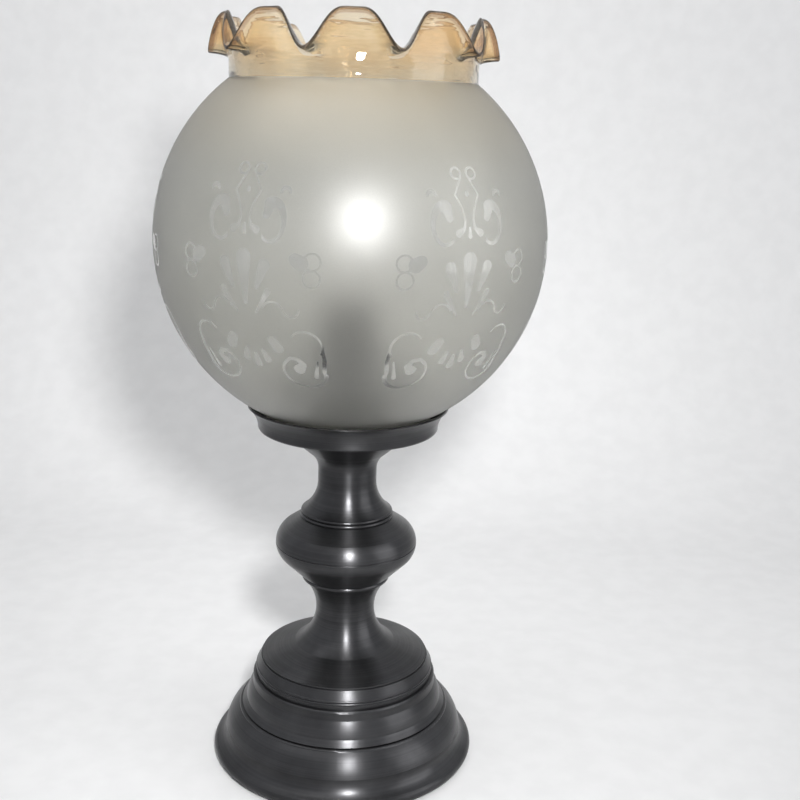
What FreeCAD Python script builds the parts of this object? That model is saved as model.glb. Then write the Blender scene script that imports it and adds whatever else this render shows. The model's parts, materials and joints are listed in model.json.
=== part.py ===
"""Hurricane candle lantern: a frosted glass globe with a crimped rim, standing in a spun pewter cup
on a turned column and a weighted, stepped base. Millimetres, +Z up, origin on the table under the axis."""

import FreeCAD, Part
import Sketcher
import math
import os

Vector = FreeCAD.Vector
AXIS = Vector(0, 0, 1)
POINTS_PER_CRIMP = 8
RIM_SHARES = (0, 0.25, 0.5, 0.75, 1)

# Driving dimensions: name, size, what it is
SIZES = [
    ("spun_wall", 1.5, "wall of the spun column and base shells"),
    ("web", 2.0, "flat end of a spun shell, round the rod"),
    ("rod_radius", 4.0, "tie rod, M8"),
    ("rod_gap", 0.4, "rod to the holes that it passes"),
    ("thread_gap", 0.05, "rod to the pieces screwed on it"),
    ("foot_gap", 1.0, "table to the metal foot"),
    ("foot_radius", 68.6, "rolled foot of the base"),
    ("foot_round", 3.0, "rounding of the foot"),
    ("foot_lip", 6.0, "foot turned in under the base plate"),
    ("cove_foot_rise", 2.8, "foot rounding up to the cove"),
    ("cove_foot_run", 2.0, "foot edge in to the cove"),
    ("cove_round", 7.0, "cove over the foot"),
    ("bulge_inset", 6.4, "foot edge in to the lower moulding's widest line"),
    ("bulge_rise", 11.2, "foot rounding up to that line"),
    ("bulge_round", 18.0, "lower moulding, rounding"),
    ("step_inset", 7.0, "lower moulding in to the step line"),
    ("step_rise", 11.8, "lower moulding up to the step line"),
    ("step_depth", 1.0, "step line, depth"),
    ("skirt_round", 21.5, "hollow of the skirt wall"),
    ("skirt_inset", 7.2, "step line in to the skirt's top"),
    ("skirt_rise", 15.8, "step line up to the skirt's top"),
    ("skirt_edge_round", 1.2, "rounding of the skirt's top edge"),
    ("groove_depth", 2.0, "groove under the shoulder, depth"),
    ("groove_width", 2.0, "groove under the shoulder, height"),
    ("bead_round", 0.8, "fine beads of the shoulder"),
    ("shoulder_inset", 2.2, "groove in to the shoulder at the top of the base"),
    ("shoulder_rise", 7.3, "groove up to the flat top of the base"),
    ("flare_inset", 0.6, "shoulder in to the edge of the lower stem's foot"),
    ("flare_edge", 1.1, "lower stem, thickness of that edge"),
    ("flare_lip", 2.4, "lower stem, width of the ring that it stands on"),
    ("flare_root_radius", 26.0, "lower stem, where the flare leaves the hollow"),
    ("flare_root_rise", 7.5, "lower stem, height of that line over the base"),
    ("lower_waist_radius", 15.2, "lower stem at its waist"),
    ("lower_waist_rise", 25.2, "lower stem, height of the waist over the base"),
    ("lower_hollow_round", 21.8, "lower stem, hollow under the waist"),
    ("lower_throat_round", 24.0, "lower stem, hollow over the waist"),
    ("lower_stem_height", 42.5, "lower stem, from the base to its flat top"),
    ("lower_top_radius", 21.4, "lower stem at its flat top"),
    ("lower_ring_radius", 22.6, "half-round ring under the knob"),
    ("lower_ring_height", 2.6, "half-round ring under the knob"),
    ("knob_radius", 36.3, "knob at its middle"),
    ("knob_round", 11.0, "knob, rounding of its side"),
    ("knob_lower_height", 17.7, "lower half of the knob"),
    ("knob_upper_height", 14.3, "upper half of the knob"),
    ("knob_turn", 49.0, "knob, degrees that the rounding turns before the cone"),
    ("knob_bottom_radius", 22.8, "knob at its flat bottom"),
    ("knob_top_radius", 23.7, "knob at its flat top"),
    ("seam_chamfer", 0.4, "edge of each half at the knob's seam"),
    ("upper_ring_radius", 23.9, "half-round ring over the knob"),
    ("upper_ring_height", 1.9, "half-round ring over the knob"),
    ("flange_radius", 23.4, "upper stem, foot flange"),
    ("flange_height", 1.8, "upper stem, thickness of the foot flange"),
    ("flange_step", 0.8, "upper stem, flange edge to the hollow"),
    ("upper_waist_radius", 14.9, "upper stem at its waist"),
    ("upper_waist_rise", 17.7, "upper stem, height of the waist"),
    ("upper_waist_length", 5.5, "upper stem, straight part of the waist"),
    ("upper_hollow_round", 19.2, "upper stem, hollow under the waist"),
    ("upper_throat_round", 10.6, "upper stem, hollow over the waist"),
    ("trumpet_root_radius", 19.8, "upper stem, where the trumpet leaves the hollow"),
    ("trumpet_root_rise", 32.2, "upper stem, height of that line"),
    ("trumpet_radius", 32.0, "upper stem, mouth under the cup"),
    ("trumpet_edge", 1.8, "upper stem, height of the mouth's edge"),
    ("upper_stem_height", 44.5, "upper stem, from the ring to the cup"),
    ("fitter_room", 2.8, "shade cup, glass neck to the wall"),
    ("cup_floor", 1.8, "shade cup, thickness of the floor"),
    ("cup_wall", 1.2, "shade cup, thickness of the wall"),
    ("cup_foot_round", 1.6, "shade cup, rounding under the wall"),
    ("cup_flare_round", 14.0, "shade cup, hollow of the flared wall"),
    ("lip_flare", 5.0, "shade cup, foot out to the lip"),
    ("cup_height", 12.4, "shade cup, floor underside to lip"),
    ("washer_radius", 10.0, "washers on the rod"),
    ("washer_height", 1.6, "washers on the rod"),
    ("nut_across_flats", 13.0, "hexagon nuts, M8"),
    ("nut_height", 6.5, "hexagon nuts, M8"),
    ("post_radius", 8.0, "candle post at its neck"),
    ("post_foot_radius", 17.0, "candle post, foot in the cup"),
    ("post_foot_edge", 2.2, "candle post, thickness of the foot's edge"),
    ("post_foot_round", 11.0, "candle post, hollow of the foot"),
    ("post_room", 1.5, "candle post, room over and round the nut and washer"),
    ("post_top_radius", 12.0, "candle post, flat under the drip pan"),
    ("post_top_rise", 5.0, "candle post, height of the flared top"),
    ("post_height", 30.0, "candle post"),
    ("pan_radius", 21.0, "drip pan at its lip"),
    ("pan_wall", 1.2, "drip pan, thickness"),
    ("pan_hub_radius", 14.5, "drip pan, flat middle"),
    ("pan_rise", 3.6, "drip pan, lip over the flat middle"),
    ("socket_radius", 13.6, "candle cup, outside"),
    ("socket_lip_radius", 15.4, "candle cup, rolled lip"),
    ("socket_lip_height", 2.4, "candle cup, rolled lip"),
    ("socket_neck_radius", 12.4, "candle cup, foot on the drip pan"),
    ("socket_foot", 7.0, "candle cup, solid foot screwed on the rod"),
    ("candle_bore_radius", 11.2, "candle cup, bore for a 22 mm candle"),
    ("candle_bore_depth", 22.0, "candle cup, depth of the bore"),
    ("socket_screw_depth", 5.5, "rod's length in the candle cup"),
    ("ballast_inset", 5.8, "shoulder in to the side of the cast iron weight"),
    ("ballast_height", 20.0, "cast iron weight"),
    ("ballast_chamfer", 2.0, "cast iron weight, edges"),
    ("rod_end", 4.0, "rod standing out of the bottom nut"),
    ("plate_height", 1.2, "base plate"),
    ("plate_gap", 0.5, "base plate to the base's inside"),
    ("felt_gap", 1.0, "felt to the turned-in foot"),
    ("globe_radius", 94.4, "glass globe, outside"),
    ("glass_wall", 2.6, "glass, thickness"),
    ("fitter_radius", 41.3, "glass, lower neck that stands in the cup"),
    ("fitter_height", 7.0, "glass, height of the lower neck"),
    ("shade_gap", 0.3, "glass to the cup's floor"),
    ("collar_radius", 58.3, "glass, upper neck under the rim"),
    ("collar_height", 8.2, "glass, height of the upper neck"),
    ("crimps", 10, "glass, waves of the crimped rim"),
    ("crest_rise", 19.2, "rim, height of a crest over the upper neck"),
    ("crest_flare", 2.0, "rim, how far a crest leans out"),
    ("trough_rise", 2.6, "rim, height of a trough over the upper neck"),
    ("trough_flare", 9.0, "rim, how far a trough leans out"),
    ("crest_breadth", 2.2, "rim, how broad the crests are beside the troughs; 1 is even"),
    ("crimp_turn", 2.0, "rim, degrees that a crest stands right of the front"),
]

# Sizes worked out from the driving ones, each by a formula of the sheet
DERIVED = [
    ("rod_hole", "rod_radius + rod_gap"),
    ("thread_radius", "rod_radius + thread_gap"),
    ("lip_top", "foot_gap + spun_wall"),
    ("plate_top", "lip_top + plate_height"),
    ("bulge_radius", "foot_radius - bulge_inset"),
    ("bulge_height", "foot_gap + foot_round + bulge_rise"),
    ("step_radius", "bulge_radius - step_inset"),
    ("step_height", "bulge_height + step_rise"),
    ("skirt_top_radius", "step_radius - skirt_inset"),
    ("skirt_top_height", "step_height + skirt_rise"),
    ("groove_radius", "skirt_top_radius - groove_depth"),
    ("groove_bottom", "skirt_top_height + skirt_edge_round"),
    ("groove_top", "groove_bottom + groove_width"),
    ("shoulder_radius", "groove_radius - shoulder_inset"),
    ("shoulder_height", "groove_top + shoulder_rise"),
    ("shoulder_underside", "shoulder_height - web"),
    ("flare_radius", "shoulder_radius - flare_inset"),
    ("ballast_radius", "shoulder_radius - ballast_inset"),
    ("ballast_bottom", "shoulder_underside - ballast_height"),
    ("bottom_washer_bottom", "ballast_bottom - washer_height"),
    ("bottom_nut_bottom", "bottom_washer_bottom - nut_height"),
    ("rod_bottom", "bottom_nut_bottom - rod_end"),
    ("lower_stem_top", "shoulder_height + lower_stem_height"),
    ("lower_waist_height", "shoulder_height + lower_waist_rise"),
    ("flare_root_height", "shoulder_height + flare_root_rise"),
    ("knob_bottom", "lower_stem_top + lower_ring_height"),
    ("knob_middle", "knob_bottom + knob_lower_height"),
    ("knob_top", "knob_middle + knob_upper_height"),
    ("knob_centre", "knob_radius - knob_round"),
    ("knob_inner_round", "knob_round - spun_wall"),
    ("knob_cone_run", "cos(knob_turn * 1 deg)"),
    ("knob_cone_rise", "sin(knob_turn * 1 deg)"),
    ("upper_stem_bottom", "knob_top + upper_ring_height"),
    ("flange_top", "upper_stem_bottom + flange_height"),
    ("upper_waist_height", "upper_stem_bottom + upper_waist_rise"),
    ("trumpet_root_height", "upper_stem_bottom + trumpet_root_rise"),
    ("cup_bottom", "upper_stem_bottom + upper_stem_height"),
    ("cup_inside", "cup_bottom + cup_floor"),
    ("cup_radius", "fitter_radius + fitter_room + cup_wall"),
    ("lip_radius", "cup_radius + lip_flare"),
    ("lip_height", "cup_bottom + cup_height"),
    ("cup_washer_top", "cup_inside + washer_height"),
    ("cup_nut_top", "cup_washer_top + nut_height"),
    ("post_top", "cup_inside + post_height"),
    ("pan_top", "post_top + pan_wall"),
    ("bore_bottom", "pan_top + socket_foot"),
    ("socket_top", "bore_bottom + candle_bore_depth"),
    ("rod_top", "pan_top + socket_screw_depth"),
    ("fitter_bottom", "cup_inside + shade_gap"),
    ("fitter_top", "fitter_bottom + fitter_height"),
    ("globe_centre", "fitter_top + sqrt(globe_radius ^ 2 - fitter_radius ^ 2)"),
    ("globe_inner_radius", "globe_radius - glass_wall"),
    ("fitter_inner_radius", "fitter_radius - glass_wall"),
    ("collar_inner_radius", "collar_radius - glass_wall"),
    ("fitter_inner_top", "globe_centre - sqrt(globe_inner_radius ^ 2 - fitter_inner_radius ^ 2)"),
    ("collar_bottom", "globe_centre + sqrt(globe_radius ^ 2 - collar_radius ^ 2)"),
    ("collar_inner_bottom", "globe_centre + sqrt(globe_inner_radius ^ 2 - collar_inner_radius ^ 2)"),
    ("collar_top", "collar_bottom + collar_height"),
]

doc = FreeCAD.newDocument("hurricane_candle_lantern")
sheet = doc.addObject("Spreadsheet::Sheet", "Sizes")
rows_used = 0


def add_cell(alias, content, note=""):
    """Write one cell of the sheet and name it."""
    global rows_used
    rows_used += 1
    sheet.set("A%d" % rows_used, content)
    sheet.setAlias("A%d" % rows_used, alias)
    sheet.set("B%d" % rows_used, note)


def size(alias):
    """The present value of a cell."""
    return float(sheet.get(alias))


for alias, value, note in SIZES:
    add_cell(alias, str(value), note)
for alias, formula in DERIVED:
    add_cell(alias, "=" + formula)
doc.recompute()


def point(radius, height):
    """A corner of an outline: distance from the axis and height, each a formula of the sheet."""
    return {"radius": radius, "height": height, "round": None, "turn": 0}


def left_arc(radius, height, rounding):
    """A corner reached by an arc that turns left, with its rounding as a formula."""
    return {"radius": radius, "height": height, "round": rounding, "turn": 1}


def right_arc(radius, height, rounding):
    """A corner reached by an arc that turns right."""
    return {"radius": radius, "height": height, "round": rounding, "turn": -1}


def arc_centre(start, end, rounding, turn):
    """Centre of the shorter arc of a given rounding from start to end."""
    chord = end - start
    side = Vector(-chord.y, chord.x, 0).normalize() * turn
    half = chord.Length / 2
    return (start + end) * 0.5 + side * math.sqrt(rounding ** 2 - half ** 2)


def angle_of(centre, spot):
    return math.atan2(spot.y - centre.y, spot.x - centre.x)


def name_corners(label, outline):
    """Give the sheet a named cell for each corner and rounding of an outline."""
    for index, corner in enumerate(outline):
        add_cell("%s_radius_%d" % (label, index), "=" + corner["radius"])
        add_cell("%s_height_%d" % (label, index), "=" + corner["height"])
        if corner["round"]:
            add_cell("%s_round_%d" % (label, index), "=" + corner["round"])
    sheet.recompute()


def bind(sketch, constraint, alias):
    """Add a constraint whose value follows a cell of the sheet."""
    index = sketch.addConstraint(constraint)
    sketch.setExpression("Constraints[%d]" % index, "%s.%s" % (sheet.Name, alias))


def fix_corner(sketch, geometry, end, label, index, spot):
    """Hold a corner at its radius and height; zero means on the axis or on the table."""
    if abs(spot.x) < 1e-9:
        sketch.addConstraint(Sketcher.Constraint("PointOnObject", geometry, end, -2))
    else:
        offset = Sketcher.Constraint("DistanceX", -1, 1, geometry, end, spot.x)
        bind(sketch, offset, "%s_radius_%d" % (label, index))
    if abs(spot.y) < 1e-9:
        sketch.addConstraint(Sketcher.Constraint("PointOnObject", geometry, end, -1))
    else:
        offset = Sketcher.Constraint("DistanceY", -1, 1, geometry, end, spot.y)
        bind(sketch, offset, "%s_height_%d" % (label, index))


def outline_sketch(body, label, outline):
    """A closed outline in the body's XZ plane, with every corner bound to the sheet."""
    plane = [item for item in body.Origin.OriginFeatures if item.Role == "XZ_Plane"][0]
    sketch = body.newObject("Sketcher::SketchObject", label + "_outline")
    sketch.AttachmentSupport = [(plane, "")]
    sketch.MapMode = "FlatFace"
    name_corners(label, outline)
    spots = []
    for index in range(len(outline)):
        radius = size("%s_radius_%d" % (label, index))
        spots.append(Vector(radius, size("%s_height_%d" % (label, index)), 0))
    ends = []
    for index, start in enumerate(spots):
        following = (index + 1) % len(spots)
        corner = outline[following]
        end = spots[following]
        if corner["turn"] == 0:
            sketch.addGeometry(Part.LineSegment(start, end), False)
            ends.append((1, 2))
            continue
        rounding = size("%s_round_%d" % (label, following))
        centre = arc_centre(start, end, rounding, corner["turn"])
        first, last = (start, end) if corner["turn"] > 0 else (end, start)
        circle = Part.Circle(centre, AXIS, rounding)
        arc = Part.ArcOfCircle(circle, angle_of(centre, first), angle_of(centre, last))
        sketch.addGeometry(arc, False)
        ends.append((1, 2) if corner["turn"] > 0 else (2, 1))
        bind(sketch, Sketcher.Constraint("Radius", index, rounding), "%s_round_%d" % (label, following))
    for index in range(len(spots)):
        before = index - 1 if index else len(spots) - 1
        joint = Sketcher.Constraint("Coincident", before, ends[before][1], index, ends[index][0])
        sketch.addConstraint(joint)
        fix_corner(sketch, index, ends[index][0], label, index, spots[index])
    return sketch


def turned(label, outline):
    """A turned or spun piece: its outline revolved about the axis."""
    body = doc.addObject("PartDesign::Body", label)
    body.Label = label
    sketch = outline_sketch(body, label, outline)
    turn = body.newObject("PartDesign::Revolution", label + "_turn")
    turn.Profile = sketch
    turn.ReferenceAxis = (sketch, ["V_Axis"])
    turn.Angle = 360
    body.Tip = turn
    return body


def ring(label, inner, outer, bottom, top, rounding):
    """A flat ring with a half-round outer edge."""
    return turned(label, [
        point(inner, bottom),
        point("%s - %s" % (outer, rounding), bottom),
        left_arc(outer, "(%s + %s) / 2" % (bottom, top), rounding),
        left_arc("%s - %s" % (outer, rounding), top, rounding),
        point(inner, top),
    ])


def disc(label, inner, outer, bottom, top):
    """A flat washer or plate; an inner radius of zero leaves it whole."""
    return turned(label, [point(inner, bottom), point(outer, bottom), point(outer, top), point(inner, top)])


def hexagon_nut(label, bottom):
    """A hexagon nut on the rod."""
    prism = doc.addObject("Part::Prism", label + "_hexagon")
    prism.Polygon = 6
    prism.setExpression("Circumradius", "Sizes.nut_across_flats / 2 / cos(30 deg)")
    prism.setExpression("Height", "Sizes.nut_height")
    hole = doc.addObject("Part::Cylinder", label + "_thread")
    hole.setExpression("Radius", "Sizes.thread_radius")
    hole.setExpression("Height", "Sizes.nut_height")
    nut = doc.addObject("Part::Cut", label)
    nut.Label = label
    nut.Base = prism
    nut.Tool = hole
    nut.setExpression(".Placement.Base.z", "Sizes." + bottom)
    return nut


def base_shell():
    """Spun base: turned-in foot, cove, round moulding, step line, hollow skirt, groove, beads, shoulder."""
    bead_height = "groove_top + %s * bead_round"
    return turned("base_shell", [
        point("foot_radius - foot_lip", "foot_gap"),
        point("foot_radius - foot_round", "foot_gap"),
        left_arc("foot_radius", "foot_gap + foot_round", "foot_round"),
        left_arc("foot_radius - cove_foot_run", "foot_gap + foot_round + cove_foot_rise", "foot_round"),
        right_arc("bulge_radius", "bulge_height", "cove_round"),
        left_arc("step_radius", "step_height - step_depth", "bulge_round"),
        left_arc("step_radius - step_depth", "step_height", "step_depth"),
        point("step_radius - 2 * step_depth", "step_height"),
        point("step_radius - 1.5 * step_depth", "step_height + 0.6 * step_depth"),
        right_arc("skirt_top_radius", "skirt_top_height", "skirt_round"),
        left_arc("skirt_top_radius - skirt_edge_round", "groove_bottom", "skirt_edge_round"),
        point("groove_radius", "groove_bottom"),
        point("groove_radius", "groove_top"),
        left_arc("groove_radius", bead_height % "1.8", "bead_round"),
        left_arc("groove_radius", bead_height % "3.6", "bead_round"),
        point("shoulder_radius", "shoulder_height"),
        point("rod_hole", "shoulder_height"),
        point("rod_hole", "shoulder_underside"),
        point("shoulder_radius - spun_wall", "shoulder_underside"),
        point("groove_radius - spun_wall", "groove_top"),
        point("skirt_top_radius - spun_wall - skirt_edge_round", "skirt_top_height"),
        right_arc("step_radius - 2 * step_depth - spun_wall", "step_height", "skirt_round + spun_wall"),
        point("bulge_radius - 2 * spun_wall", "bulge_height"),
        point("foot_radius - foot_round - spun_wall", "lip_top + foot_round"),
        point("foot_radius - foot_round - spun_wall", "lip_top"),
        point("foot_radius - foot_lip", "lip_top"),
    ])


def lower_stem():
    """Spun lower stem: flared foot standing on the base, hollow sides and a flat top round the rod."""
    return turned("lower_stem", [
        point("flare_radius - flare_lip", "shoulder_height"),
        point("flare_radius", "shoulder_height"),
        point("flare_radius", "shoulder_height + flare_edge"),
        point("flare_root_radius", "flare_root_height"),
        right_arc("lower_waist_radius", "lower_waist_height", "lower_hollow_round"),
        right_arc("lower_top_radius", "lower_stem_top", "lower_throat_round"),
        point("rod_hole", "lower_stem_top"),
        point("rod_hole", "lower_stem_top - web"),
        point("lower_top_radius - 2 * spun_wall", "lower_stem_top - web"),
        left_arc("lower_waist_radius - spun_wall", "lower_waist_height", "lower_throat_round + spun_wall"),
        left_arc("flare_root_radius - 0.5 * spun_wall", "flare_root_height - 0.9 * spun_wall",
                 "lower_hollow_round + spun_wall"),
    ])


def knob_half(label, end, end_radius, side):
    """One spun half of the knob: flat end round the rod, cone, rounding, and the seam at its widest line.

    Side is + for the upper half and - for the lower one."""
    rising = side == "-"
    inward = "-" if side == "+" else "+"
    outward_arc = left_arc if rising else right_arc
    inward_arc = right_arc if rising else left_arc
    cone_radius = "knob_centre + %s * knob_cone_run"
    cone_height = "knob_middle %s %%s * knob_cone_rise" % side
    web_height = "%s %s web" % (end, inward)
    return turned(label, [
        point("rod_hole", end),
        point(end_radius, end),
        point(cone_radius % "knob_round", cone_height % "knob_round"),
        outward_arc("knob_centre + sqrt(knob_round ^ 2 - seam_chamfer ^ 2)",
                    "knob_middle %s seam_chamfer" % side, "knob_round"),
        point("knob_radius - seam_chamfer", "knob_middle"),
        point("knob_radius - spun_wall", "knob_middle"),
        inward_arc(cone_radius % "knob_inner_round", cone_height % "knob_inner_round", "knob_inner_round"),
        point(end_radius, web_height),
        point("rod_hole", web_height),
    ])


def upper_stem():
    """Spun upper stem: foot flange, hollow sides and a trumpet mouth that carries the shade cup."""
    return turned("upper_stem", [
        point("rod_hole", "upper_stem_bottom"),
        point("flange_radius - flange_height / 2", "upper_stem_bottom"),
        left_arc("flange_radius", "upper_stem_bottom + flange_height / 2", "flange_height / 2"),
        left_arc("flange_radius - flange_step", "flange_top", "flange_height / 2 + 0.2"),
        right_arc("upper_waist_radius", "upper_waist_height", "upper_hollow_round"),
        point("upper_waist_radius", "upper_waist_height + upper_waist_length"),
        right_arc("trumpet_root_radius", "trumpet_root_height", "upper_throat_round"),
        point("trumpet_radius", "cup_bottom - trumpet_edge"),
        point("trumpet_radius", "cup_bottom"),
        point("trumpet_radius - 2 * spun_wall", "cup_bottom"),
        point("trumpet_root_radius - 0.7 * spun_wall", "trumpet_root_height + 0.7 * spun_wall"),
        left_arc("upper_waist_radius - spun_wall", "upper_waist_height + upper_waist_length",
                 "upper_throat_round + spun_wall"),
        point("upper_waist_radius - spun_wall", "upper_waist_height"),
        left_arc("flange_radius - flange_step - 2 * spun_wall", "upper_stem_bottom + web",
                 "upper_hollow_round + spun_wall"),
        point("rod_hole", "upper_stem_bottom + web"),
    ])


def shade_cup():
    """Spun cup that the glass stands in, with a flared lip."""
    return turned("shade_cup", [
        point("rod_hole", "cup_bottom"),
        point("cup_radius - cup_foot_round", "cup_bottom"),
        left_arc("cup_radius", "cup_bottom + cup_foot_round", "cup_foot_round"),
        right_arc("lip_radius", "lip_height - cup_wall / 2", "cup_flare_round"),
        left_arc("lip_radius - cup_wall", "lip_height", "cup_wall"),
        left_arc("cup_radius - cup_wall", "cup_inside + cup_foot_round", "cup_flare_round + cup_wall"),
        point("cup_radius - cup_wall - cup_foot_round", "cup_inside"),
        point("rod_hole", "cup_inside"),
    ])


def candle_post():
    """Turned post in the cup, hollow over the clamping nut, with a flat top for the drip pan."""
    return turned("candle_post", [
        point("washer_radius + post_room", "cup_inside"),
        point("post_foot_radius", "cup_inside"),
        point("post_foot_radius", "cup_inside + post_foot_edge"),
        right_arc("post_radius", "cup_nut_top + 3 * post_room", "post_foot_round"),
        point("post_radius", "post_top - post_top_rise"),
        right_arc("post_top_radius", "post_top - post_room", "post_top_rise"),
        point("post_top_radius", "post_top"),
        point("rod_hole", "post_top"),
        point("rod_hole", "cup_nut_top + post_room"),
        point("nut_across_flats / 2", "cup_nut_top + post_room"),
        point("washer_radius + post_room", "cup_washer_top + post_room"),
    ])


def drip_pan():
    """Spun pan that catches the wax: a flat middle and a raised rim."""
    return turned("drip_pan", [
        point("rod_hole", "post_top"),
        point("pan_hub_radius", "post_top"),
        left_arc("pan_radius", "pan_top + pan_rise", "pan_radius - pan_hub_radius + 0.3 * pan_rise"),
        point("pan_radius - pan_wall", "pan_top + pan_rise"),
        right_arc("pan_hub_radius", "pan_top", "pan_radius - pan_hub_radius + 0.3 * pan_rise"),
        point("rod_hole", "pan_top"),
    ])


def candle_cup():
    """Turned candle cup, screwed on the top of the rod: foot, barrel, rolled lip and candle bore."""
    return turned("candle_cup", [
        point("thread_radius", "pan_top"),
        point("socket_neck_radius", "pan_top"),
        right_arc("socket_radius", "bore_bottom", "socket_foot"),
        point("socket_radius", "socket_top - socket_lip_height"),
        point("socket_lip_radius - socket_lip_height / 2", "socket_top - socket_lip_height"),
        left_arc("socket_lip_radius", "socket_top - socket_lip_height / 2", "socket_lip_height / 2"),
        left_arc("socket_lip_radius - socket_lip_height / 2", "socket_top", "socket_lip_height / 2"),
        point("candle_bore_radius", "socket_top"),
        point("candle_bore_radius", "bore_bottom"),
        point("thread_radius", "bore_bottom"),
    ])


def ballast_weight():
    """Cast iron weight drawn up under the base's top by the bottom nut."""
    return turned("ballast_weight", [
        point("rod_hole", "ballast_bottom"),
        point("ballast_radius - ballast_chamfer", "ballast_bottom"),
        point("ballast_radius", "ballast_bottom + ballast_chamfer"),
        point("ballast_radius", "shoulder_underside - ballast_chamfer"),
        point("ballast_radius - ballast_chamfer", "shoulder_underside"),
        point("rod_hole", "shoulder_underside"),
    ])


def tie_rod():
    """Rod that clamps the column from the bottom nut to the candle cup."""
    rod = doc.addObject("Part::Cylinder", "tie_rod")
    rod.Label = "tie_rod"
    rod.setExpression("Radius", "Sizes.rod_radius")
    rod.setExpression("Height", "Sizes.rod_top - Sizes.rod_bottom")
    rod.setExpression(".Placement.Base.z", "Sizes.rod_bottom")
    return rod


def crimped_ring(share, inset):
    """Closed wave curve of the rim at a share of the way from the upper neck to the edge.

    Crests rise and stay upright, troughs lean out; inset is the depth inside the outer face."""
    crest_weight = (size("crest_rise") - size("trough_rise")) / 2
    spots = []
    count = int(size("crimps")) * POINTS_PER_CRIMP
    front = math.radians(-90 + size("crimp_turn"))
    for index in range(count):
        turn = 2 * math.pi * index / count
        dip = math.sin(size("crimps") * turn / 2) ** 2
        wave = 1 - 2 * dip ** size("crest_breadth")
        rise = (size("crest_rise") + size("trough_rise")) / 2 + crest_weight * wave
        flare = (size("crest_flare") + size("trough_flare")) / 2
        flare -= (size("trough_flare") - size("crest_flare")) / 2 * wave
        lean = math.atan2(2 * flare * share, rise * (1.5 - share))
        radius = size("collar_radius") + flare * share ** 2 - inset * math.cos(lean)
        height = size("collar_top") + rise * (1.5 * share - 0.5 * share ** 2) + inset * math.sin(lean)
        angle = front + turn
        spots.append(Vector(radius * math.cos(angle), radius * math.sin(angle), height))
    curve = Part.BSplineCurve()
    curve.interpolate(Points=spots, PeriodicFlag=True)
    return Part.Wire([curve.toShape()])


def crimped_rim():
    """The waved rim: lofted outer and inner faces, joined at the edge and at the upper neck."""
    outer = [crimped_ring(share, 0) for share in RIM_SHARES]
    inner = [crimped_ring(share, size("glass_wall")) for share in RIM_SHARES]
    edge = Part.makeRuledSurface(outer[-1], inner[-1])
    seat = Part.makeRuledSurface(outer[0], inner[0])
    faces = Part.makeLoft(outer).Faces + Part.makeLoft(inner).Faces + edge.Faces + seat.Faces
    shell = Part.makeShell(faces)
    shell.sewShape()
    solid = Part.Solid(shell)
    if solid.Volume < 0:
        solid.reverse()
    rim = doc.addObject("Part::Feature", "rim_glass")
    rim.Shape = solid
    return rim


def glass_shade():
    """One piece of glass: lower neck, globe, upper neck and the crimped rim."""
    globe = turned("globe_glass", [
        point("fitter_inner_radius", "fitter_bottom"),
        point("fitter_radius", "fitter_bottom"),
        point("fitter_radius", "fitter_top"),
        left_arc("globe_radius", "globe_centre", "globe_radius"),
        left_arc("collar_radius", "collar_bottom", "globe_radius"),
        point("collar_radius", "collar_top"),
        point("collar_inner_radius", "collar_top"),
        point("collar_inner_radius", "collar_inner_bottom"),
        right_arc("globe_inner_radius", "globe_centre", "globe_inner_radius"),
        right_arc("fitter_inner_radius", "fitter_inner_top", "globe_inner_radius"),
    ])
    shade = doc.addObject("Part::Fuse", "glass_shade")
    shade.Label = "glass_shade"
    shade.Base = globe
    shade.Tool = crimped_rim()
    return shade


def build():
    """All the pieces, from the felt up."""
    return [
        disc("felt_pad", "0", "foot_radius - foot_lip - felt_gap", "0", "lip_top"),
        disc("base_plate", "0", "foot_radius - foot_round - spun_wall - plate_gap", "lip_top", "plate_top"),
        base_shell(),
        hexagon_nut("bottom_nut", "bottom_nut_bottom"),
        disc("bottom_washer", "rod_hole", "washer_radius", "bottom_washer_bottom", "ballast_bottom"),
        ballast_weight(),
        tie_rod(),
        lower_stem(),
        ring("lower_ring", "rod_hole", "lower_ring_radius", "lower_stem_top", "knob_bottom",
             "lower_ring_height / 2"),
        knob_half("knob_lower", "knob_bottom", "knob_bottom_radius", "-"),
        knob_half("knob_upper", "knob_top", "knob_top_radius", "+"),
        ring("upper_ring", "rod_hole", "upper_ring_radius", "knob_top", "upper_stem_bottom",
             "upper_ring_height / 2"),
        upper_stem(),
        shade_cup(),
        disc("cup_washer", "rod_hole", "washer_radius", "cup_inside", "cup_washer_top"),
        hexagon_nut("cup_nut", "cup_washer_top"),
        candle_post(),
        drip_pan(),
        candle_cup(),
        glass_shade(),
    ]


pieces = build()
doc.recompute()

for item in doc.Objects:
    if "Invalid" in item.State or "Error" in item.State:
        raise RuntimeError("%s did not build: %s" % (item.Name, item.State))
for piece in pieces:
    shape = piece.Shape
    if shape.isNull() or not shape.isValid() or len(shape.Solids) != 1:
        raise RuntimeError("%s is not one sound solid" % piece.Label)

os.makedirs("parts", exist_ok=True)
for piece in pieces:
    piece.Shape.exportStep("parts/%s.step" % piece.Label)
    print("%-16s %10.1f mm3" % (piece.Label, piece.Shape.Volume))
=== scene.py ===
import bpy
import json
import math
from mathutils import Matrix, Vector


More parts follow.
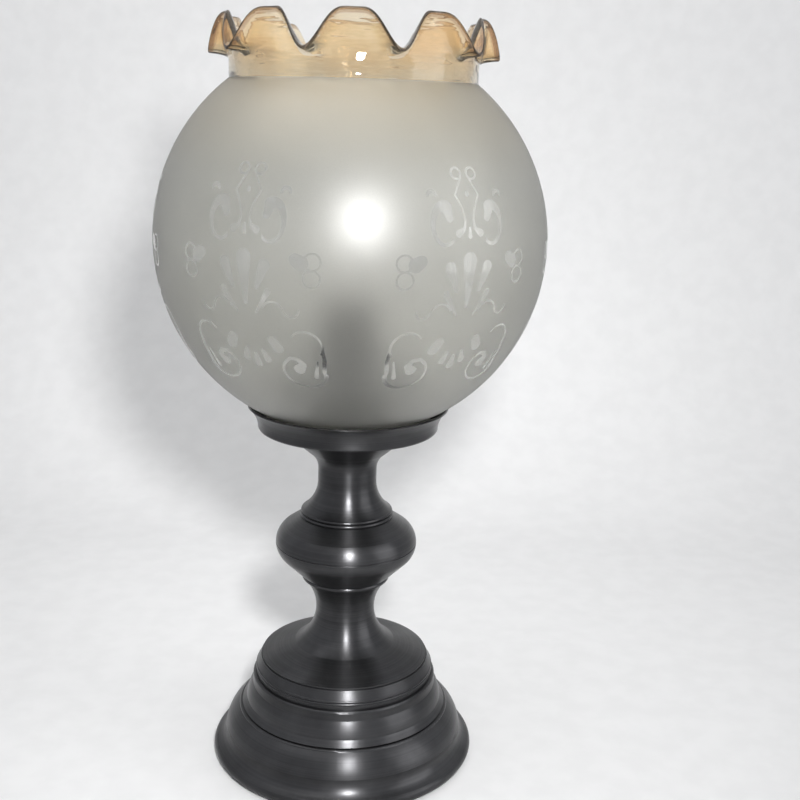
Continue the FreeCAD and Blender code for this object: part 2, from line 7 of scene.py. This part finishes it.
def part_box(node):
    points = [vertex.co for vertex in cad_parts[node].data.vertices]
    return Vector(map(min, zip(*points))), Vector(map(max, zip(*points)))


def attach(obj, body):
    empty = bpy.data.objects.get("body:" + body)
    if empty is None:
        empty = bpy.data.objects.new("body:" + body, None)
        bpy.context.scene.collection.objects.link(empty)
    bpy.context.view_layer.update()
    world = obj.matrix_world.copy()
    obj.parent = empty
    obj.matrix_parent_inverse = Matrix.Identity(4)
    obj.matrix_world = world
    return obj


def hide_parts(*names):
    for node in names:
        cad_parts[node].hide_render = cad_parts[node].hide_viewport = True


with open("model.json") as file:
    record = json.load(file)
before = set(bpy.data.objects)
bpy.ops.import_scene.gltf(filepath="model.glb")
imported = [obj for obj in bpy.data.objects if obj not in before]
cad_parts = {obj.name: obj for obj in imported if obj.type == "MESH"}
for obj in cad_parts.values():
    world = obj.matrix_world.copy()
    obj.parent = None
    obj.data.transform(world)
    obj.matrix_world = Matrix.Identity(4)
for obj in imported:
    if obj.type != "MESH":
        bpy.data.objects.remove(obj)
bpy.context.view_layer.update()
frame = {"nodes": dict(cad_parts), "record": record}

scene = bpy.context.scene
scene.view_settings.view_transform = "Standard"

# The glass, in metres: the solid's sizes, with a finer edge and a rounder lean of the rim
GLOBE_RADIUS = 0.0944
GLOBE_CENTRE = 0.27079
GLASS_WALL = 0.0026
FITTER_RADIUS = 0.0413
FITTER_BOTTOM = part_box("glass_shade")[0][2]
COLLAR_RADIUS = 0.0583
COLLAR_BOTTOM = 0.34503
COLLAR_TOP = 0.35323
CRIMPS = 10
CRIMP_TURN = math.radians(2)
CREST_RISE = 0.0192
CREST_FLARE = 0.002
CREST_BREADTH = 2.2
TROUGH_RISE = 0.0026
TROUGH_FLARE = 0.009
EDGE_WALL = 0.0016
# How finely its mesh is divided, and the angle from which a crease stays sharp
POINTS_PER_CRIMP = 36
GLOBE_STEPS = 48
RIM_STEPS = 14
EDGE_STEPS = 6
CREASE = math.radians(40)

# Glass tints, and the share of light that the frost and the amber stain scatter
FROST_DARK = (0.515, 0.511, 0.468, 1)
FROST_LIGHT = (0.585, 0.58, 0.533, 1)
CLEAR_TINT = (0.95, 0.95, 0.93, 1)
SHOULDER_TINT = (0.74, 0.65, 0.48, 1)
COLLAR_TINT = (0.74, 0.675, 0.555, 1)
AMBER_TINT = (0.94, 0.83, 0.64, 1)
AMBER_DEEP = (0.84, 0.66, 0.42, 1)
EDGE_TINT = (0.5, 0.34, 0.22, 1)
FROST_MILK = 0.08
RIM_MILK = 0.02
GLASS_IOR = 1.52
# Roughness of clear glass, what the frost adds to it, and how much its speckle adds to that
CLEAR_ROUGH = 0.03
FROST_ROUGH = 0.36
SPECKLE_ROUGH = 0.1
# How far the frost's tint turns warm at the upper neck
SHOULDER_SHARE = 0.55
# Where the glass changes, in metres: depth at which the frost starts and is full, blend at the upper neck,
# depth of the warm part below it, height of full amber above it, width of the brown edge
FROST_START = 0.0018
FROST_FULL = 0.0008
NECK_BLEND = 0.0006
SHOULDER_DEPTH = 0.045
AMBER_HEIGHT = 0.01
EDGE_WIDTH = 0.002

# Metal and felt tints, dark and light
PEWTER = ((0.035, 0.035, 0.0365, 1), (0.08, 0.08, 0.083, 1))
# Painted shade: a darker pewter for the parts that stand in shade inside the globe
PAINTED_SHADE_PEWTER = ((0.012, 0.012, 0.012, 1), (0.035, 0.034, 0.033, 1))
STEEL = ((0.42, 0.42, 0.43, 1), (0.58, 0.58, 0.58, 1))
IRON = ((0.05, 0.05, 0.052, 1), (0.13, 0.125, 0.12, 1))
FELT = ((0.02, 0.04, 0.028, 1), (0.05, 0.085, 0.06, 1))
# The candle socket, drip pan and post inside the globe get darker pewter: painted shade for the dark they
# stand in under the frosted glass
PAINTED_SHADE_PARTS = ("candle_cup", "drip_pan", "candle_post")

# Camera: place in metres, tilt down, turn about its line of sight, focal length and sensor in millimetres
CAMERA_PLACE = (0.0258, -0.5529, 0.3313)
CAMERA_TILT = math.radians(14.18)
CAMERA_ROLL = math.radians(1.64)
CAMERA_LENS = 51.09
SENSOR_WIDTH = 36

# Lamps: name, shape, place, target, width, height, watts, spread in degrees
LAMPS = [
    ("key", "DISK", (0.08, -0.54, 0.43), (0, 0, 0.24), 0.07, 0.07, 1.2, 80),
    ("top", "RECTANGLE", (-0.2, -0.1, 1.1), (0, 0, 0.2), 0.9, 0.9, 3.6, 180),
    ("right", "RECTANGLE", (0.9, -0.3, 0.5), (0, 0, 0.2), 0.6, 0.9, 2.8, 180),
]

# Backdrop, a sheet that bends up behind the lantern, and the floor under it, in metres
BACKDROP_FRONT = -2.0
BACKDROP_BACK = 0.55
BACKDROP_BEND = 0.25
BACKDROP_HEIGHT = 1.6
BACKDROP_HALF = 2.2
BEND_STEPS = 12
FLOOR_REACH = 12.0
FLOOR_DROP = 0.002

# Studio paper, the sky as it lights the lantern and as it is seen, and the paper's glow far from the lamps,
# with the distances over which it comes up
PAPER_DARK = (0.8, 0.8, 0.8, 1)
PAPER_LIGHT = (0.83, 0.83, 0.83, 1)
SKY_TINT = (0.95, 0.965, 1.0, 1)
SKY_LIGHT = 0.3
SKY_SEEN = 0.76
FAR_GLOW = 0.5
FAR_FROM = 0.6
FAR_TO = 1.5

# The etched motif, in millimetres: across from its middle line and up from the globe's widest line
MOTIF_REPEATS = 6
MOTIF_TURN = math.radians(34.6)
MM_PER_METRE = 1000
# How far its lines fade inside and outside their outline, and how much of the frost they take away
ETCH_INSIDE = -0.15
ETCH_OUTSIDE = 0.25
ETCH_CLEAR = 0.8
# Strokes: start, end, half width at each
MOTIF_STROKES = [
    # Line that drops from the top loops and turns out into a bulb
    ((2.0, 36.2), (6.0, 28.8), 0.35, 0.35),
    ((6.0, 28.8), (3.4, 23.6), 0.35, 0.4),
    ((3.4, 23.6), (2.0, 18.6), 0.4, 0.4),
    ((2.0, 18.6), (2.8, 14.6), 0.4, 0.7),
    ((2.8, 14.6), (5.6, 12.8), 0.7, 1.6),
    # Dot in the middle of the crown and the drop under it
    ((0.0, 29.4), (0.0, 29.0), 0.9, 0.9),
    ((0.0, 15.0), (0.0, 11.6), 0.4, 1.0),
    # Heavy head of the scroll beside it
    ((9.8, 19.2), (11.4, 22.8), 1.7, 2.0),
    # Leaf beside the two loops
    ((23.2, 1.6), (25.6, 0.2), 2.6, 3.2),
    # Fan of petals
    ((0.0, 1.4), (0.0, -18.0), 3.5, 0.8),
    ((9.6, -1.4), (5.8, -11.2), 2.6, 0.8),
    ((10.8, -12.4), (4.6, -22.0), 1.3, 0.4),
    # Drops under the fan
    ((0.0, -42.6), (0.0, -47.6), 0.9, 1.8),
    ((4.0, -40.4), (5.2, -44.8), 0.9, 1.7),
    ((9.8, -34.8), (11.6, -38.2), 2.2, 2.6),
    # Back of the large scroll, the curl that it ends in and the slim leaf along its back
    ((31.4, -38.0), (31.0, -43.5), 0.5, 0.9),
    ((31.0, -43.5), (29.4, -50.0), 0.9, 0.9),
    ((16.3, -43.1), (19.4, -43.5), 0.8, 1.0),
    ((19.4, -43.5), (21.2, -46.2), 1.0, 1.4),
    ((21.2, -46.2), (18.8, -48.8), 1.4, 2.5),
    ((28.0, -44.0), (25.2, -53.0), 0.3, 1.0),
]
# Loops: centre, radius, height for a width of 1, half width of the line, how that grows across and up,
# and the side that is open with its distance from the centre
MOTIF_LOOPS = [
    ((3.9, 38.0), 2.4, 1.0, 0.45, (0, 0), None),
    ((12.0, 16.2), 5.7, 1.42, 0.95, (0.02, 0.06), (-1, 0, 3.6)),
    ((17.0, 28.4), 1.9, 1.0, 0.5, (0, 0.2), (0, -1, 0.2)),
    ((30.4, 0.9), 3.5, 1.0, 0.4, (0, 0), None),
    ((30.0, -6.2), 3.6, 1.0, 0.4, (0, 0), None),
    ((20.4, -19.8), 3.3, 1.0, 0.4, (0, 0), (0, 1, 0.4)),
    ((12.3, -21.6), 4.9, 1.0, 0.4, (0, 0), (0, -1, -1.6)),
    ((24.5, -36.4), 7.0, 1.0, 0.4, (0.02, 0), (-0.6, -0.8, 0)),
    ((20.6, -50.6), 9.1, 0.94, 0.75, (0.03, 0.02), (0.5, 0.87, 4.4)),
]


class Graph:
    """A material's nodes, with short calls for the sums that its patterns need."""

    def __init__(self, name):
        self.material = bpy.data.materials.new(name)
        self.material.use_nodes = True
        self.nodes = self.material.node_tree.nodes
        self.links = self.material.node_tree.links
        self.shader = self.nodes["Principled BSDF"]

    def put(self, socket, value):
        if isinstance(value, bpy.types.NodeSocket):
            self.links.new(value, socket)
        else:
            socket.default_value = value

    def math(self, operation, *values, clamp=False):
        node = self.nodes.new("ShaderNodeMath")
        node.operation = operation
        node.use_clamp = clamp
        for socket, value in zip(node.inputs, values):
            self.put(socket, value)
        return node.outputs[0]

    def vector(self, operation, *values):
        node = self.nodes.new("ShaderNodeVectorMath")
        node.operation = operation
        for socket, value in zip(node.inputs, values):
            self.put(socket, value)
        gives_number = operation in ("DISTANCE", "DOT_PRODUCT", "LENGTH")
        return node.outputs["Value"] if gives_number else node.outputs["Vector"]

    def smooth(self, value, low, high, start=0.0, end=1.0):
        node = self.nodes.new("ShaderNodeMapRange")
        node.interpolation_type = "SMOOTHSTEP"
        for socket, given in zip(node.inputs, (value, low, high, start, end)):
            self.put(socket, given)
        return node.outputs[0]

    def mix(self, share, first, second):
        node = self.nodes.new("ShaderNodeMix")
        node.data_type = "RGBA"
        self.put(node.inputs["Factor"], share)
        self.put(node.inputs[6], first)
        self.put(node.inputs[7], second)
        return node.outputs[2]

    def noise(self, place, scale, detail=3.0, roughness=0.5):
        node = self.nodes.new("ShaderNodeTexNoise")
        self.put(node.inputs["Vector"], place)
        node.inputs["Scale"].default_value = scale
        node.inputs["Detail"].default_value = detail
        node.inputs["Roughness"].default_value = roughness
        return node.outputs[0]

    def place(self):
        return self.nodes.new("ShaderNodeTexCoord").outputs["Object"]

    def parts(self, vector):
        node = self.nodes.new("ShaderNodeSeparateXYZ")
        self.put(node.inputs[0], vector)
        return node.outputs

    def join(self, x, y, z):
        node = self.nodes.new("ShaderNodeCombineXYZ")
        for socket, value in zip(node.inputs, (x, y, z)):
            self.put(socket, value)
        return node.outputs[0]

    def from_axis(self, x, y):
        return self.vector("LENGTH", self.join(x, y, 0.0))

    def bump(self, height, strength, distance):
        node = self.nodes.new("ShaderNodeBump")
        node.inputs["Strength"].default_value = strength
        node.inputs["Distance"].default_value = distance
        self.put(node.inputs["Height"], height)
        self.put(self.shader.inputs["Normal"], node.outputs[0])

    def set(self, **values):
        for name, value in values.items():
            self.put(self.shader.inputs[name.replace("_", " ")], value)


def turned_metal(name, dark, light, roughness):
    """Spun metal: fine lines round the axis, cloudy patina and a little dirt in the tone."""
    g = Graph(name)
    x, y, z = g.parts(g.place())
    across = g.join(g.from_axis(x, y), 0.0, z)
    lines = g.noise(across, scale=1400.0, detail=4.0, roughness=0.7)
    bands = g.noise(across, scale=160.0, detail=3.0, roughness=0.6)
    clouds = g.noise(g.place(), scale=28.0, detail=5.0, roughness=0.6)
    tone = g.math("ADD", g.math("MULTIPLY", lines, 0.3), g.math("MULTIPLY", bands, 0.25))
    tone = g.math("ADD", tone, g.math("MULTIPLY", clouds, 0.45))
    share = g.smooth(tone, 0.28, 0.72)
    g.set(Base_Color=g.mix(share, dark, light), Metallic=1.0)
    g.set(Roughness=g.smooth(tone, 0.2, 0.8, roughness + 0.1, roughness - 0.06))
    g.bump(g.math("ADD", lines, bands), strength=0.16, distance=0.0001)
    tangent = g.nodes.new("ShaderNodeTangent")
    tangent.direction_type = "RADIAL"
    tangent.axis = "Z"
    g.set(Anisotropic=0.8, Anisotropic_Rotation=0.25, Tangent=tangent.outputs[0])
    return g.material


def plain_metal(name, dark, light, roughness, grain):
    """Plated or cast metal with a fine grain."""
    g = Graph(name)
    grains = g.noise(g.place(), scale=grain, detail=5.0, roughness=0.65)
    g.set(Base_Color=g.mix(g.smooth(grains, 0.3, 0.7), dark, light), Metallic=1.0)
    g.set(Roughness=g.smooth(grains, 0.25, 0.75, roughness - 0.1, roughness + 0.12))
    g.bump(grains, strength=0.4, distance=0.0002)
    return g.material


def felt(name, dark, light):
    """Pressed wool felt."""
    g = Graph(name)
    fibres = g.noise(g.place(), scale=900.0, detail=6.0, roughness=0.75)
    clumps = g.noise(g.place(), scale=120.0, detail=3.0, roughness=0.5)
    tone = g.math("MULTIPLY", g.math("ADD", fibres, clumps), 0.5)
    g.set(Base_Color=g.mix(g.smooth(tone, 0.35, 0.65), dark, light), Roughness=0.95)
    g.bump(fibres, strength=0.8, distance=0.0006)
    return g.material


def stroke(g, spot, start, end, start_half, end_half):
    """Distance outside a straight stroke with round ends, whose half width changes along it."""
    run = (end[0] - start[0], end[1] - start[1], 0)
    length_squared = run[0] ** 2 + run[1] ** 2
    from_start = g.vector("SUBTRACT", spot, (*start, 0))
    share = g.math("DIVIDE", g.vector("DOT_PRODUCT", from_start, run), length_squared, clamp=True)
    along = g.vector("MULTIPLY", g.join(share, share, 0.0), run)
    away = g.vector("DISTANCE", from_start, along)
    return g.math("SUBTRACT", away, g.math("MULTIPLY_ADD", share, end_half - start_half, start_half))


def loop(g, spot, centre, radius, tall, half, growth, open_side):
    """Distance outside a round or oval line, cut off beyond a straight line on its open side."""
    from_centre = g.vector("SUBTRACT", spot, (*centre, 0))
    evened = g.vector("MULTIPLY", from_centre, (1, 1 / tall, 0))
    away = g.math("ABSOLUTE", g.math("SUBTRACT", g.vector("LENGTH", evened), radius))
    width = half
    if growth != (0, 0):
        width = g.math("ADD", g.vector("DOT_PRODUCT", from_centre, (*growth, 0)), half)
    away = g.math("SUBTRACT", away, width)
    if open_side is None:
        return away
    side_x, side_y, limit = open_side
    towards = g.vector("DOT_PRODUCT", from_centre, (side_x, side_y, 0))
    return g.math("MAXIMUM", away, g.math("SUBTRACT", towards, limit))


def etched_scrolls(g, x, y, z):
    """1 in the lines of the palmette and scrolls that repeat round the globe, 0 outside them.

    Works in millimetres on the globe: across from the motif's middle line, which mirrors it, and up from
    the globe's widest line."""
    around = g.math("ARCTAN2", x, g.math("MULTIPLY", y, -1.0))
    repeat = 2 * math.pi / MOTIF_REPEATS
    turns = g.math("DIVIDE", g.math("SUBTRACT", around, MOTIF_TURN), repeat)
    within = g.math("ABSOLUTE", g.math("SUBTRACT", turns, g.math("ROUND", turns)))
    level = g.from_axis(x, y)
    across = g.math("MULTIPLY", g.math("MULTIPLY", within, repeat), g.math("MULTIPLY", level, MM_PER_METRE))
    rise = g.math("ARCTAN2", g.math("SUBTRACT", z, GLOBE_CENTRE), level)
    up = g.math("MULTIPLY", rise, GLOBE_RADIUS * MM_PER_METRE)
    spot = g.join(across, up, 0.0)
    distances = [stroke(g, spot, *form) for form in MOTIF_STROKES]
    distances += [loop(g, spot, *form) for form in MOTIF_LOOPS]
    nearest = distances[0]
    for away in distances[1:]:
        nearest = g.math("MINIMUM", nearest, away)
    return g.smooth(nearest, ETCH_INSIDE, ETCH_OUTSIDE, 1.0, 0.0)


def amber_rim(g, x, y, z):
    """Tint of the clear glass: pale at the neck, amber up the rim, brown along the crimped edge."""
    around = g.math("ADD", g.math("ARCTAN2", y, x), math.pi / 2 - CRIMP_TURN)
    dip = g.math("POWER", g.math("SINE", g.math("MULTIPLY", around, CRIMPS / 2)), 2.0)
    drop = g.math("POWER", dip, CREST_BREADTH)
    edge_height = g.math("MULTIPLY_ADD", drop, TROUGH_RISE - CREST_RISE, COLLAR_TOP + CREST_RISE)
    edge_radius = g.math("MULTIPLY_ADD", dip, TROUGH_FLARE - CREST_FLARE, COLLAR_RADIUS + CREST_FLARE)
    here = g.join(g.from_axis(x, y), z, 0.0)
    from_edge = g.vector("DISTANCE", here, g.join(edge_radius, edge_height, 0.0))
    streaks = g.math("MULTIPLY", g.noise(g.place(), scale=55.0, detail=3.0), 0.35)
    stain = g.math("ADD", g.smooth(z, COLLAR_BOTTOM, COLLAR_TOP + AMBER_HEIGHT, 0.0, 0.85), streaks)
    depth = g.noise(g.place(), scale=32.0, detail=2.0)
    amber = g.mix(g.smooth(depth, 0.4, 0.62), AMBER_TINT, AMBER_DEEP)
    tint = g.mix(g.math("MINIMUM", stain, 1.0), COLLAR_TINT, amber)
    return g.mix(g.smooth(from_edge, EDGE_WIDTH * 0.6, EDGE_WIDTH, 1.0, 0.0), tint, EDGE_TINT)


def frosted_glass(name):
    """Glass frosted on the outside, clear in the etched scrolls, stained amber from the upper neck up."""
    g = Graph(name)
    x, y, z = g.parts(g.place())
    from_centre = g.vector("DISTANCE", g.place(), (0, 0, GLOBE_CENTRE))
    outside = g.smooth(from_centre, GLOBE_RADIUS - FROST_START, GLOBE_RADIUS - FROST_FULL)
    amber = g.smooth(z, COLLAR_BOTTOM - NECK_BLEND, COLLAR_BOTTOM + NECK_BLEND)
    scrolls = g.math("MULTIPLY", etched_scrolls(g, x, y, z), ETCH_CLEAR)
    grains = g.noise(g.place(), scale=2600.0, detail=3.0, roughness=0.6)
    clouds = g.noise(g.place(), scale=22.0, detail=4.0, roughness=0.55)
    frost = g.math("MULTIPLY", outside, g.math("SUBTRACT", 1.0, amber))
    frost = g.math("MULTIPLY", frost, g.math("SUBTRACT", 1.0, scrolls))
    speckle = g.math("ADD", g.math("MULTIPLY", grains, 0.5), g.math("MULTIPLY", clouds, 0.5))
    frost_tint = g.mix(g.smooth(speckle, 0.35, 0.65), FROST_DARK, FROST_LIGHT)
    warm = g.smooth(z, COLLAR_BOTTOM - SHOULDER_DEPTH, COLLAR_BOTTOM, 0.0, SHOULDER_SHARE)
    frost_tint = g.mix(warm, frost_tint, SHOULDER_TINT)
    tint = g.mix(frost, CLEAR_TINT, frost_tint)
    g.set(Base_Color=g.mix(amber, tint, amber_rim(g, x, y, z)))
    rough = g.math("MULTIPLY_ADD", speckle, SPECKLE_ROUGH, FROST_ROUGH)
    g.set(Roughness=g.math("MULTIPLY_ADD", frost, rough, CLEAR_ROUGH))
    drawn_out = g.vector("MULTIPLY", g.place(), (1, 1, 5))
    ripples = g.noise(drawn_out, scale=45.0, detail=2.0, roughness=0.4)
    g.bump(g.math("MULTIPLY", ripples, amber), strength=0.3, distance=0.002)
    milk = g.math("MAXIMUM", g.math("MULTIPLY", frost, FROST_MILK), g.math("MULTIPLY", amber, RIM_MILK))
    g.set(Transmission_Weight=g.math("SUBTRACT", 1.0, milk), IOR=GLASS_IOR)
    return g.material


def mesh_object(name, corners, faces, material):
    """A smooth mesh object in the scene."""
    mesh = bpy.data.meshes.new(name)
    mesh.from_pydata(corners, [], faces)
    mesh.polygons.foreach_set("use_smooth", [True] * len(mesh.polygons))
    mesh.materials.append(material)
    thing = bpy.data.objects.new(name, mesh)
    scene.collection.objects.link(thing)
    return thing


def globe_arc(radius, low, high):
    """Radius and height along the globe, up from the radius of one neck to that of the other."""
    start = -math.acos(low / radius)
    end = math.acos(high / radius)
    angles = [start + (end - start) * step / GLOBE_STEPS for step in range(GLOBE_STEPS + 1)]
    return [(radius * math.cos(angle), GLOBE_CENTRE + radius * math.sin(angle)) for angle in angles]


def rim_profile(turn):
    """Radius and height over the rim at an angle from a crest: up outside, round the edge, down inside."""
    dip = math.sin(CRIMPS * turn / 2) ** 2
    rise = CREST_RISE + (TROUGH_RISE - CREST_RISE) * dip ** CREST_BREADTH
    flare = CREST_FLARE + (TROUGH_FLARE - CREST_FLARE) * dip

    def spot(share, inset):
        lean = math.atan2(2 * flare * share, rise * (1.5 - share))
        radius = COLLAR_RADIUS + flare * share ** 2 - inset * math.cos(lean)
        height = COLLAR_TOP + rise * (1.5 * share - 0.5 * share ** 2) + inset * math.sin(lean)
        return radius, height, lean

    shares = [step / RIM_STEPS for step in range(1, RIM_STEPS + 1)]
    outside = [spot(share, 0.0)[:2] for share in shares]
    inside = [spot(share, GLASS_WALL + (EDGE_WALL - GLASS_WALL) * share)[:2] for share in shares]
    radius, height, lean = spot(1.0, EDGE_WALL / 2)
    edge = []
    for step in range(1, EDGE_STEPS):
        angle = math.pi * step / EDGE_STEPS - lean
        edge.append((radius + EDGE_WALL / 2 * math.cos(angle), height + EDGE_WALL / 2 * math.sin(angle)))
    return outside + edge + inside[::-1]


def blown_glass(material):
    """The glass in one skin: lower neck, globe, upper neck and crimped rim, thinner towards the edge."""
    collar_inner = COLLAR_RADIUS - GLASS_WALL
    fitter_inner = FITTER_RADIUS - GLASS_WALL
    outside = [(FITTER_RADIUS, FITTER_BOTTOM)]
    outside += globe_arc(GLOBE_RADIUS, FITTER_RADIUS, COLLAR_RADIUS)
    outside.append((COLLAR_RADIUS, COLLAR_TOP))
    inside = [(collar_inner, COLLAR_TOP)]
    inside += globe_arc(GLOBE_RADIUS - GLASS_WALL, fitter_inner, collar_inner)[::-1]
    inside.append((fitter_inner, FITTER_BOTTOM))
    corners = []
    count = CRIMPS * POINTS_PER_CRIMP
    for index in range(count):
        turn = 2 * math.pi * index / count
        angle = turn + CRIMP_TURN - math.pi / 2
        profile = outside + rim_profile(turn) + inside
        corners += [(r * math.cos(angle), r * math.sin(angle), z) for r, z in profile]
    ring = len(corners) // count
    faces = []
    for index in range(count):
        here = index * ring
        there = (index + 1) % count * ring
        for step in range(ring):
            after = (step + 1) % ring
            faces.append((here + step, there + step, there + after, here + after))
    piece = mesh_object("blown_glass", corners, faces, material)
    piece.data.set_sharp_from_angle(angle=CREASE)
    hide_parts("glass_shade")
    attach(piece, "shade")


def photo_camera():
    """A camera that looks along +Y, tilted down and turned about its own line of sight."""
    ahead = Vector((0, math.cos(CAMERA_TILT), -math.sin(CAMERA_TILT)))
    right = Vector((1, 0, 0))
    up = Vector((0, math.sin(CAMERA_TILT), math.cos(CAMERA_TILT)))
    right_turned = right * math.cos(CAMERA_ROLL) + up * math.sin(CAMERA_ROLL)
    up_turned = up * math.cos(CAMERA_ROLL) - right * math.sin(CAMERA_ROLL)
    data = bpy.data.cameras.new("camera")
    data.sensor_width = SENSOR_WIDTH
    data.lens = CAMERA_LENS
    data.clip_start = 0.01
    camera = bpy.data.objects.new("camera", data)
    columns = Matrix((right_turned, up_turned, -ahead)).transposed()
    camera.matrix_world = Matrix.Translation(CAMERA_PLACE) @ columns.to_4x4()
    scene.collection.objects.link(camera)
    scene.camera = camera


def area_light(name, shape, place, target, width, height, power, spread):
    """A flat lamp turned to its target."""
    data = bpy.data.lights.new(name, "AREA")
    data.shape = shape
    data.size = width
    data.size_y = height
    data.energy = power
    data.spread = math.radians(spread)
    lamp = bpy.data.objects.new(name, data)
    aim = Vector(target) - Vector(place)
    turned = aim.to_track_quat("-Z", "Y").to_matrix().to_4x4()
    lamp.matrix_world = Matrix.Translation(place) @ turned
    scene.collection.objects.link(lamp)


def seen_rays(nodes, links):
    """1 for the rays that show the studio: to the camera, by gloss or through glass; 0 for the rest."""
    path = nodes.new("ShaderNodeLightPath")
    seen = path.outputs["Is Camera Ray"]
    for kind in ("Is Glossy Ray", "Is Transmission Ray"):
        either = nodes.new("ShaderNodeMath")
        either.operation = "MAXIMUM"
        links.new(seen, either.inputs[0])
        links.new(path.outputs[kind], either.inputs[1])
        seen = either.outputs[0]
    return seen


def paper(name, see_through):
    """Pale paper, as pale far off as near the lamps.

    Where asked, it casts no shadow and can be looked through from behind."""
    g = Graph(name)
    fibres = g.noise(g.place(), scale=60.0, detail=4.0)
    g.set(Base_Color=g.mix(g.smooth(fibres, 0.3, 0.7), PAPER_DARK, PAPER_LIGHT), Roughness=0.9)
    far = g.smooth(g.vector("LENGTH", g.place()), FAR_FROM, FAR_TO, 0.0, FAR_GLOW)
    glow = g.math("MULTIPLY", far, seen_rays(g.nodes, g.links))
    g.set(Emission_Color=SKY_TINT, Emission_Strength=glow)
    if see_through:
        behind = g.nodes.new("ShaderNodeNewGeometry").outputs["Backfacing"]
        shadow = g.nodes.new("ShaderNodeLightPath").outputs["Is Shadow Ray"]
        blend = g.nodes.new("ShaderNodeMixShader")
        g.put(blend.inputs[0], g.math("MAXIMUM", behind, shadow))
        g.put(blend.inputs[1], g.shader.outputs[0])
        g.put(blend.inputs[2], g.nodes.new("ShaderNodeBsdfTransparent").outputs[0])
        g.put(g.nodes["Material Output"].inputs["Surface"], blend.outputs[0])
    return g.material


def backdrop():
    """A sheet of paper that lies in front of the lantern and curves up behind it."""
    bend_start = BACKDROP_BACK - BACKDROP_BEND
    outline = [(BACKDROP_FRONT, 0.0), (bend_start, 0.0)]
    for step in range(1, BEND_STEPS + 1):
        angle = math.pi / 2 * step / BEND_STEPS
        along = bend_start + BACKDROP_BEND * math.sin(angle)
        outline.append((along, BACKDROP_BEND - BACKDROP_BEND * math.cos(angle)))
    outline.append((BACKDROP_BACK, BACKDROP_HEIGHT))
    corners = [(side * BACKDROP_HALF, along, height) for along, height in outline for side in (-1, 1)]
    faces = [(2 * i, 2 * i + 1, 2 * i + 3, 2 * i + 2) for i in range(len(outline) - 1)]
    mesh_object("backdrop", corners, faces, paper("backdrop_paper", True))


def floor():
    """A wide floor just under the backdrop, for views from the side and from behind."""
    sides = ((-1, -1), (1, -1), (1, 1), (-1, 1))
    corners = [(x * FLOOR_REACH, y * FLOOR_REACH, -FLOOR_DROP) for x, y in sides]
    mesh_object("floor", corners, [(0, 1, 2, 3)], paper("floor_paper", False))


def sky():
    """A low even light, shown brighter than it lights."""
    world = bpy.data.worlds.new("sky")
    world.use_nodes = True
    nodes = world.node_tree.nodes
    links = world.node_tree.links
    background = nodes["Background"]
    background.inputs["Color"].default_value = SKY_TINT
    brightness = nodes.new("ShaderNodeMapRange")
    brightness.inputs["To Min"].default_value = SKY_LIGHT
    brightness.inputs["To Max"].default_value = SKY_SEEN
    links.new(seen_rays(nodes, links), brightness.inputs["Value"])
    links.new(brightness.outputs[0], background.inputs["Strength"])
    scene.world = world


glass = frosted_glass("glass_frosted")
# Darker pewter for the candle socket parts: painted shade for the shade they stand in inside the globe
painted_shade_pewter = turned_metal("pewter_painted_shade", *PAINTED_SHADE_PEWTER, roughness=0.5)
FINISHES = {
    "pewter": turned_metal("pewter_spun", *PEWTER, roughness=0.33),
    "steel": plain_metal("steel_plated", *STEEL, roughness=0.35, grain=300.0),
    "iron": plain_metal("iron_cast", *IRON, roughness=0.7, grain=420.0),
    "felt": felt("felt_green", *FELT),
    "glass": glass,
}

for part in frame["record"]["subparts"]:
    node = frame["nodes"][part["node"]]
    # The socket parts get the painted-shade pewter, the rest the finish of their slot
    finish = painted_shade_pewter if part["node"] in PAINTED_SHADE_PARTS else FINISHES[part["material_slot"]]
    for material_slot in node.material_slots:
        material_slot.material = finish

blown_glass(glass)
photo_camera()
backdrop()
floor()
sky()
for lamp in LAMPS:
    area_light(*lamp)
